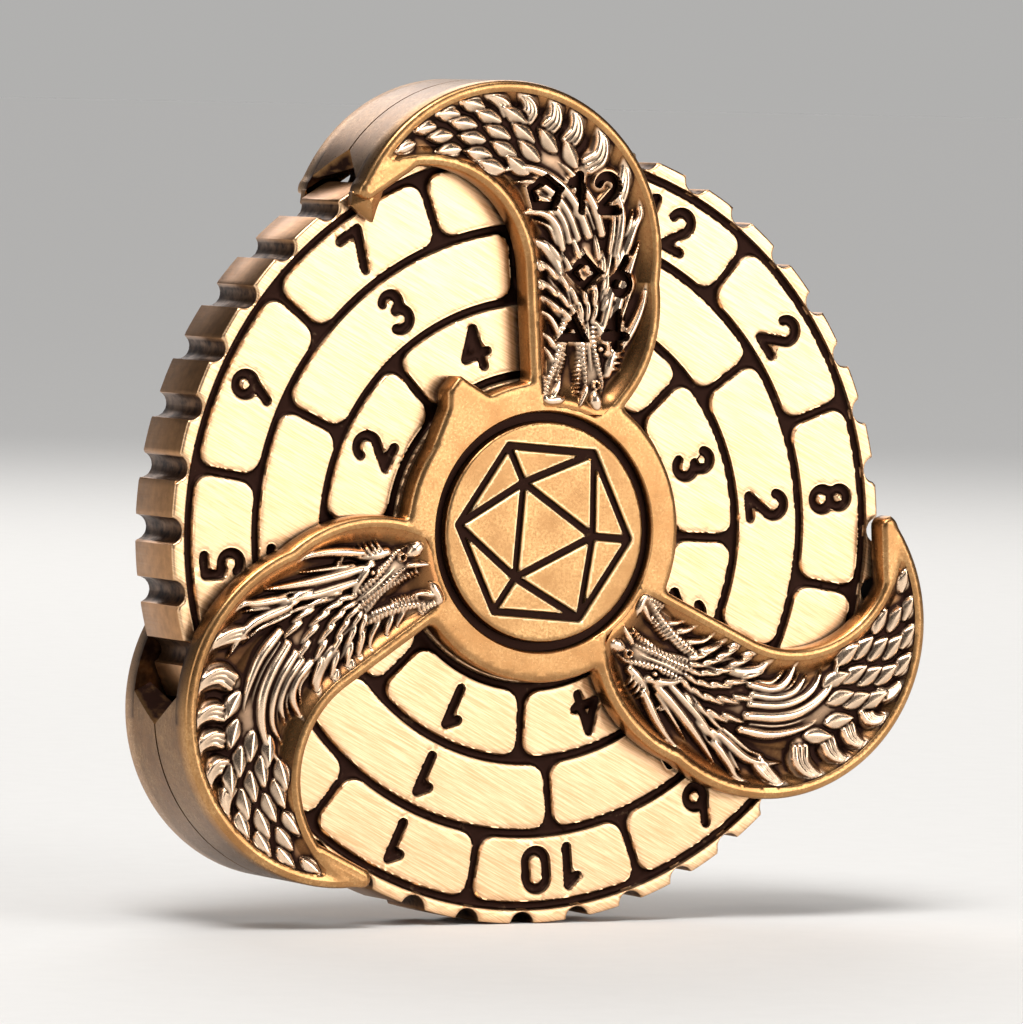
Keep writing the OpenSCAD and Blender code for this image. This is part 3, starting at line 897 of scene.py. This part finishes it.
JAWS = (
    (0.26, 0.78, (3.3, 14.2), (3.5, 12.4), (3.85, 11.0), (4.2, 9.9), (4.15, 8.9)),
    (0.25, 0.80, (2.2, 15.2), (2.6, 13.2), (2.75, 11.5), (2.95, 10.2), (3.0, 9.0)),
    (0.20, 0.66, (2.9, 14.0), (3.05, 12.4), (3.3, 11.0), (3.5, 9.9)),
    (0.18, 0.62, (1.9, 15.0), (2.15, 13.4), (2.4, 12.0), (2.5, 10.6), (2.55, 9.6)),
    (0.17, 0.75, (3.0, 9.6), (2.7, 8.95), (2.35, 8.3)),
    (0.34, 0.80, (3.75, 8.5), (3.65, 9.0), (3.62, 9.5)),
    (0.31, 0.74, (1.35, 14.4), (1.15, 12.6), (0.7, 11.1), (0.15, 9.7), (0.2, 8.8)),
    (0.18, 0.60, (1.65, 14.0), (1.4, 12.6), (1.0, 11.0), (0.6, 9.5)),
    (0.20, 0.70, (0.9, 8.85), (0.2, 8.75), (-0.6, 8.95)),
    (0.17, 0.66, (0.3, 8.8), (0.9, 8.75), (1.4, 8.95)),
    (0.16, 0.66, (0.5, 9.1), (0.9, 9.7), (1.15, 10.4)),
    (0.29, 0.88, (4.45, 11.9), (4.15, 12.9), (3.6, 13.8), (2.8, 14.5)),
    (0.21, 0.60, (1.4, 16.0), (1.75, 14.6), (2.0, 13.2), (2.2, 12.1)),
    (0.31, 0.62, (4.55, 10.5), (4.9, 11.7), (5.5, 12.9)),
)
# The rows of JAWS that have beads along them
BEADED = (0, 1, 3, 6, 7)
COMBS = (
    # first point, step between teeth, tooth, how many, half width, height
    ((2.5, 9.3), (0.02, 0.29), (-0.5, -0.12), 10, 0.085, 0.52),
    ((0.0, 9.0), (0.02, 0.25), (-0.62, -0.03), 6, 0.085, 0.56),
    ((0.72, 10.1), (0.09, 0.27), (0.46, -0.08), 7, 0.08, 0.50),
    ((4.7, 10.8), (0.12, 0.40), (0.95, -0.02), 5, 0.13, 0.60),
    ((6.1, 13.0), (-0.16, 0.42), (-0.55, 0.35), 5, 0.11, 0.42),
)
BODY = (
    (1.7, 0.34, (2.2, 12.6), (2.6, 16.5), (2.3, 19.6), (1.2, 22.4), (-1.0, 24.9), (-4.5, 26.3),
     (-8.0, 26.3), (-11.2, 25.5)),
    (1.0, 0.42, (3.6, 8.9), (3.3, 11.2), (2.9, 14.5)),
    (0.6, 0.36, (0.1, 9.1), (0.7, 11.3), (1.4, 14.0)),
)
SCALE_ROWS = (
    # distance from the centre of the arm's back, then the first and last angle
    (10.35, 106, 152),
    (9.25, 82, 152),
    (8.15, 56, 152),
    (7.05, 70, 148),
    (6.0, 84, 128),
)
MARKS = (
    # corners of the sunk outline, its centre, the number and its centre
    (5, (-0.4, 22.4), 12, (3.2, 22.5)),
    (4, (2.7, 17.2), 6, (5.4, 17.0)),
    (3, (1.9, 13.3), 4, (4.9, 13.4)),
)
MARK_R, MARK_LINE, MARK_SCALE = 1.35, 0.28, 0.88
INNER_RIDGE = (0.42, 0.5, (-13.5, 22.9), (-12.2, 23.6), (-10.6, 24.1), (-9.0, 24.3), (-7.2, 24.25))


def smooth_path(points, steps=7):
    """A curve through the points, with some steps between each two."""
    p = np.array(points, float)
    p = np.vstack([2 * p[0] - p[1], p, 2 * p[-1] - p[-2]])
    t = np.linspace(0, 1, steps, endpoint=False)[:, None]
    curve = [
        0.5 * (2 * b + (c - a) * t + (2 * a - 5 * b + 4 * c - d) * t**2 + (3 * b - a - 3 * c + d) * t**3)
        for a, b, c, d in zip(p, p[1:], p[2:], p[3:])
    ]
    return np.vstack([*curve, p[-2:-1]])


def nearest(x, y, path):
    """Distance to a path, how far along it, and the distance along it in mm."""
    lengths = np.hypot(*np.diff(path, axis=0).T)
    starts = np.concatenate([[0], np.cumsum(lengths)])
    far, along = np.full(x.shape, 1e9), np.zeros(x.shape)
    for p, q, start, length in zip(path, path[1:], starts, lengths):
        px, py = x - p[0], y - p[1]
        dx, dy = (q - p) / length
        t = np.clip(px * dx + py * dy, 0, length)
        d = np.hypot(px - t * dx, py - t * dy)
        closer = d < far
        far[closer] = d[closer]
        along[closer] = (start + t)[closer]
    return far, along / starts[-1], along


def horn(s):
    """A strand's width, which narrows from the root at 0 to the tip at 1."""
    return np.maximum(1 - s**2.4, 0) ** 0.8 * (0.8 + 0.2 * np.minimum(s / 0.2, 1)) + 0.03


def rolled(s):
    """A strand's width, full in the middle and narrow at both ends."""
    return np.sqrt(np.clip(np.sin(math.pi * (0.06 + 0.9 * s)), 0, 1))


class Relief:
    """A height above the field's floor at every point of a flat mesh."""

    def __init__(self, x, y):
        self.x, self.y = x, y
        self.h = np.zeros(len(x))

    def near(self, path, margin):
        """Indices of the points in the box round a path."""
        low, high = path.min(0) - margin, path.max(0) + margin
        inside = (self.x > low[0]) & (self.x < high[0]) & (self.y > low[1]) & (self.y < high[1])
        return np.nonzero(inside)[0]

    def strand(self, width, height, *points, taper=horn, beads=False, power=0.5):
        """A ridge along the points, round for the power 0.5 and softer above."""
        bead_pitch = 0.31
        path = smooth_path(points)
        width = width * SWELL
        rows = self.near(path, width)
        d, s, mm = nearest(self.x[rows], self.y[rows], path)
        f = taper(s)
        u = np.clip(d / (width * f), 0, 1)
        value = height * (0.35 + 0.65 * f) * (1 - u * u) ** power
        if beads:
            value *= 0.86 + 0.14 * np.cos(2 * math.pi * mm / bead_pitch)
        self.h[rows] = np.maximum(self.h[rows], value)

    def flame(self, spread, width, height, *points):
        """Three ridges side by side on one web, which meet at the tip."""
        path = smooth_path(points)
        way = np.gradient(path, axis=0)
        across = np.stack([way[:, 1], -way[:, 0]], 1) / np.hypot(*way.T)[:, None]
        fade = (1 - np.linspace(0, 1, len(path)) ** 1.6)[:, None]
        self.strand(width + spread, 0.55 * height, *points, power=0.35)
        for side, part in ((-1, 0.9), (1, 1.0), (0, 0.94)):
            ridge = path + side * spread * fade * across
            self.strand(width * part, height * part, *ridge[::3], ridge[-1])

    def leaf(self, centre, angle, length, width, height):
        """A keeled scale; its tip stands over what lies beyond."""
        c, s = math.cos(angle), math.sin(angle)
        px, py = self.x - centre[0], self.y - centre[1]
        widest = 0.45
        t = (px * c + py * s) / length + 0.5
        v = (py * c - px * s) / width
        wide = np.where(
            t < widest,
            np.sqrt(np.clip(1 - ((widest - t) / widest) ** 2, 0, 1)),
            1 - (np.clip(t - widest, 0, 1) / (1 - widest)) ** 1.7,
        )
        inside = (t > 0) & (t < 1) & (np.abs(v) < wide)
        k = np.abs(v[inside]) / np.maximum(wide[inside], 1e-3)
        ti = t[inside]
        self.h[inside] = height + 0.3 * ti + 0.12 * (1 - k) + 0.36 * np.sqrt(1 - k * k)

    def comb(self, start, step, tooth, count, width, height):
        """A row of short curved teeth."""
        for k in range(count):
            root = (start[0] + k * step[0], start[1] + k * step[1])
            tip = (root[0] + tooth[0], root[1] + tooth[1])
            middle = ((root[0] + tip[0]) / 2, (root[1] + tip[1]) / 2 + 0.06)
            self.strand(width, height, root, middle, tip)


def ring_marks(x, y, back):
    """Signed distance to the marks that say which ring is which."""
    out = np.full(x.shape, 1e9)
    for corners, shape_at, n, number_at in MARKS:
        if back:
            shape_at, number_at = number_at, shape_at
        px, py = x - shape_at[0], y - shape_at[1]
        r, a = np.hypot(px, py), np.arctan2(py, px)
        half = math.pi / corners
        first = 0 if corners == 4 else math.pi / 2
        off = (a - first + half) % (2 * half) - half
        side = r * np.cos(half - np.abs(off)) - MARK_R * math.cos(half)
        out = np.minimum(out, np.abs(side + MARK_LINE) - MARK_LINE)
        u, v = (x - number_at[0]) / MARK_SCALE, (y - number_at[1]) / MARK_SCALE
        out = np.minimum(out, number(n, -u if back else u, v) * MARK_SCALE)
    return out


def beast_field(x, y):
    """Signed distance to the part of the first field that its beast covers."""
    return np.maximum(one_field(x, y) + 0.12, RAMP_R0 - 0.2 - np.hypot(x, y))


def sculpt(x, y):
    """The height of the beast above the floor. Strands only add to it; scales,
    eye and nostril replace what lies under them."""
    relief = Relief(x, y)
    for row in BODY:
        relief.strand(*row, taper=rolled, power=0.8)
    for row in FLAMES:
        relief.flame(*row)
    for row in COMBS:
        relief.comb(*row)
    leaves = []
    for k, (radius, first, last) in enumerate(SCALE_ROWS):
        pitch = math.degrees(SCALE_PITCH / radius)
        angle = first + (k % 2) * pitch / 2
        while angle < last:
            leaves.append((angle, radius))
            angle += pitch
    for angle, radius in sorted(leaves, reverse=True):
        a = math.radians(angle)
        size = 1.0 - 0.28 * np.clip((angle - 112) / 38, 0, 1)
        centre = (ARM_C[0] + radius * math.cos(a), ARM_C[1] + radius * math.sin(a))
        if one_field(np.array([centre[0]]), np.array([centre[1]]))[0] < -0.28:
            relief.leaf(centre, a + math.radians(63), SCALE_LENGTH * size, SCALE_HALF_W * size, 0.1)
    for row in MANE + BEARD + SPIKES:
        relief.strand(*row)
    crown_at = (2.55, 12.6)
    for ring in range(4, -1, -1):
        for k in range(5 + ring % 2):
            a = math.radians(64 + 14.5 * k - 7 * (ring % 2))
            r0, r1 = 1.6 + 1.02 * ring, 3.25 + 1.05 * ring
            path = [(crown_at[0] + r * math.cos(a + 0.05 * j), crown_at[1] + r * math.sin(a + 0.05 * j))
                    for j, r in enumerate((r0, (r0 + r1) / 2, r1))]
            relief.strand(0.2, 0.86 - 0.04 * ring, *path)
    for k, row in enumerate(JAWS):
        relief.strand(*row, beads=k in BEADED)
    eye = np.hypot(x - 3.95, y - 12.15)
    ball_r = 0.22
    ball = 0.3 + 0.5 * np.sqrt(np.clip(1 - (eye / ball_r) ** 2, 0, 1))
    relief.h = np.where(eye < 0.34, 0.3, relief.h)
    relief.h = np.where(eye < ball_r, ball, relief.h)
    nostril = np.hypot(x - 3.72, y - 9.75)
    relief.h = np.where(nostril < 0.3, np.maximum(relief.h, 0.74), relief.h)
    relief.h = np.where(nostril < 0.17, 0.25, relief.h)
    relief.strand(*INNER_RIDGE, taper=rolled, power=1.2)
    return relief.h


def build_beast(name, arm, back, marked):
    angle = 2 * math.pi * arm / 3

    def marks(x, y):
        return ring_marks(x, y, back)

    low, high = (-14.5, 7.8), (8.9, 30.2)
    contours = [(marks, (0.03, -0.04))] if marked else []
    points, tris = drawn(low, high, BEAST_STEP, beast_field, contours)
    x, y = points.T
    r = np.hypot(x, y)
    h = sculpt(x, y)
    if marked:
        h = np.maximum(h, 0.3 * step_up(-marks(x, y), -0.5, -0.1))
    inside = -one_field(x, y)
    h = h * step_up(inside, 0.02, 0.28)
    h = blurred(h, tris, 1)
    ground = field_floor(r)
    room = (BEAST_TOP - ground) / (BEAST_TOP - FIELD_Z)
    away = step_up(r, RAMP_R0, RAMP_R0 + 0.5)
    top = np.maximum(ground + h * room, field_profile(inside, r)) + 0.012 * away - 0.05 * (1 - away)
    cavity = blurred(h, tris, 26) - h
    patina_and_shade = np.clip(0.55 + cavity / 0.2, 0, 1) * step_up(h, 0.0, 0.1)
    bare = FIELD_PATINA * step_up(inside, 0.2, 1.2) + 0.5 * step_up(cavity, 0.0, 0.2)
    patina_and_shade = np.maximum(patina_and_shade, (1 - step_up(h, 0.02, 0.25)) * bare)
    patina_and_shade = patina_and_shade * (0.25 + 0.75 * step_up(r, RAMP_R0, RAMP_R1))
    # Painted highlight: the high parts of the relief take the pale colour.
    pale = step_up(h, 0.18, 0.5)
    if marked:
        deep = np.clip((0.03 - marks(x, y)) / 0.07, 0, 1)
        patina_and_shade = patina_and_shade * (1 - 0.6 * step_up(-marks(x, y), -0.4, -0.1))
        top = top * (1 - deep) + MARK_FLOOR * deep
        patina_and_shade = np.maximum(patina_and_shade, deep)
        pale = pale * (1 - deep)
    verts, faces = closed(points, tris, top, BEAST_BOTTOM)
    patina_and_shade, pale = filled(patina_and_shade, verts, 0.5), filled(pale, verts, 0.0)
    vx, vy = turn(verts[:, 0], verts[:, 1], -angle)
    verts = np.column_stack([vx, vy, verts[:, 2]])
    obj = piece(name, verts, faces, BEAST, "frame", patina_and_shade, back, sharp=60, pale=pale)
    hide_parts("back_frame" if back else "front_frame")


for number_of_arm in range(3):
    for is_back in (False, True):
        side_name = "back" if is_back else "front"
        build_beast(f"beast_{side_name}_{number_of_arm + 1}", number_of_arm, is_back, number_of_arm == 0)


# ---- Medallions ----

FACET_LINE_W, FACET_WALL_W, FACET_EDGE_R = 0.5, 0.06, 0.07
FACET_OUTER_R, FACET_INNER_R = 6.35, 3.65
FACET_TURN = -4.5
MEDALLION_EDGE_R = 0.22


def facet_lines(x, y):
    """Signed distance to the lines of an icosahedron seen along a face's axis."""
    def at(radius, degrees):
        a = math.radians(degrees + FACET_TURN)
        return radius * math.cos(a), radius * math.sin(a)

    outer = [at(FACET_OUTER_R, 60 * k) for k in range(6)]
    inner = [at(FACET_INNER_R, 120 * k) for k in range(3)]
    pairs = [(outer[k], outer[(k + 1) % 6]) for k in range(6)]
    pairs += [(inner[k], inner[(k + 1) % 3]) for k in range(3)]
    pairs += [(inner[k], outer[(2 * k + j) % 6]) for k in range(3) for j in (-1, 0, 1)]
    return np.minimum.reduce([segment(x, y, p, q) for p, q in pairs]) - FACET_LINE_W / 2


def build_medallion(name, node, back):
    def outline(x, y):
        return np.hypot(x, y) - (MEDALLION_R - 0.01)

    step = 0.14
    size = MEDALLION_R + step
    points, tris = drawn((-size, -size), (size, size), step, outline, [
        (facet_lines, (FACET_EDGE_R, 0.0, -FACET_WALL_W)), (outline, (-0.06, -MEDALLION_EDGE_R)),
    ])
    x, y = points.T
    d, edge = facet_lines(x, y), -outline(x, y)
    deep = np.clip(-d / FACET_WALL_W, 0, 1)
    top = HALF_T - rounded(d, FACET_EDGE_R) * (d > 0) - 0.28 * deep - FACET_EDGE_R * (d <= 0)
    top = top - rounded(edge, MEDALLION_EDGE_R) * 0.8
    verts, faces = closed(points, tris, top, MEDALLION_Z)
    patina_and_shade = filled(deep, verts, 0.6)
    # Painted highlight: a thin pale line along the edges of the engraved lines.
    pale = filled(0.8 * (np.abs(d - 0.03) < 0.05), verts, 0.0)
    obj = piece(name, verts, faces, MEDAL, "frame", patina_and_shade, back, pale=pale)
    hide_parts(node)


build_medallion("medallion_front", "front_medallion", False)
build_medallion("medallion_back", "back_medallion", True)


# ---- Floor, light and camera ----

floor_z = cad_box[0][2]
bpy.ops.mesh.primitive_plane_add(size=80, location=(0, 0, floor_z))
floor = bpy.context.object
floor.name = "floor"
floor_mat, floor_tree, floor_shader = new_material("floor_paper")
floor_noise = noise(floor_tree, coords(floor_tree), 0.4, 3)
link(floor_tree, mix_color(floor_tree, floor_noise, (0.70, 0.69, 0.67), (0.74, 0.73, 0.71)),
     floor_shader.inputs["Base Color"])
floor_shader.inputs["Roughness"].default_value = 0.7
floor.data.materials.append(floor_mat)


def toward(azimuth, elevation):
    """The unit vector in a direction given in degrees; azimuth 0 is the front."""
    az, el = math.radians(azimuth), math.radians(elevation)
    return Vector((math.sin(az) * math.cos(el), -math.cos(az) * math.cos(el), math.sin(el)))


def area_light(name, direction, distance, size, power, color):
    """A soft box that looks at the counter; direction is azimuth and elevation."""
    data = bpy.data.lights.new(name, "AREA")
    data.shape = "RECTANGLE"
    data.size, data.size_y = size
    data.energy = power
    data.color = color
    obj = bpy.data.objects.new(name, data)
    bpy.context.scene.collection.objects.link(obj)
    obj.location = distance * toward(*direction)
    obj.rotation_euler = (-obj.location).to_track_quat("-Z", "Y").to_euler()


SOFT_WHITE = (1.0, 0.98, 0.96)
area_light("key", (30, 16), 0.6, (0.36, 0.36), 1.85, (1.0, 0.98, 0.95))
area_light("fill", (-80, 15), 0.6, (0.20, 0.40), 0.6, SOFT_WHITE)
area_light("top", (10, 75), 0.6, (0.4, 0.3), 1.0, SOFT_WHITE)
area_light("back", (165, 35), 0.7, (0.5, 0.4), 1.8, SOFT_WHITE)

sun_data = bpy.data.lights.new("sun", "SUN")
sun_data.energy = 2.2
sun_data.angle = math.radians(25)
sun = bpy.data.objects.new("sun", sun_data)
bpy.context.scene.collection.objects.link(sun)
sun.rotation_euler = Vector((0.35, 0.45, -1.0)).to_track_quat("-Z", "Y").to_euler()

# A studio sky: as pale as the floor at the horizon behind the counter, and dark
# above and in front, for the metal to reflect
world = bpy.data.worlds.new("studio")
bpy.context.scene.world = world
world.use_nodes = True
sky = world.node_tree
background = sky.nodes["Background"]
background.inputs["Strength"].default_value = 1.0
direction = sky.nodes.new("ShaderNodeTexCoord")
split = sky.nodes.new("ShaderNodeSeparateXYZ")
link(sky, direction.outputs["Generated"], split.inputs[0])
above = remap(sky, split.outputs["Z"], 0.02, 0.35)
in_front = remap(sky, split.outputs["Y"], 0.2, -0.2)
dark = math_node(sky, "MAXIMUM", above, in_front)
link(sky, mix_color(sky, dark, (0.44, 0.436, 0.428), (0.05, 0.05, 0.055)), background.inputs["Color"])

bpy.context.scene.view_settings.view_transform = "Standard"

# The camera stands to the left of the counter, nearly level with it, far away
# behind a long lens.
CAMERA_AZ, CAMERA_EL, CAMERA_DIST = -26.45, 2.487, 0.6383
CAMERA_ROLL = 1.236
AIM = Vector((0, 0, 0.0011))
camera_data = bpy.data.cameras.new("camera")
camera_data.lens = 336.5
camera_data.sensor_width = 36
camera_data.clip_start = 0.05
camera = bpy.data.objects.new("camera", camera_data)
bpy.context.scene.collection.objects.link(camera)
outward = toward(CAMERA_AZ, CAMERA_EL)
place = Matrix.Translation(AIM + CAMERA_DIST * outward)
look = (-outward).to_track_quat("-Z", "Y").to_matrix().to_4x4()
camera.matrix_world = place @ look @ Matrix.Rotation(math.radians(CAMERA_ROLL), 4, "Z")
bpy.context.scene.camera = camera
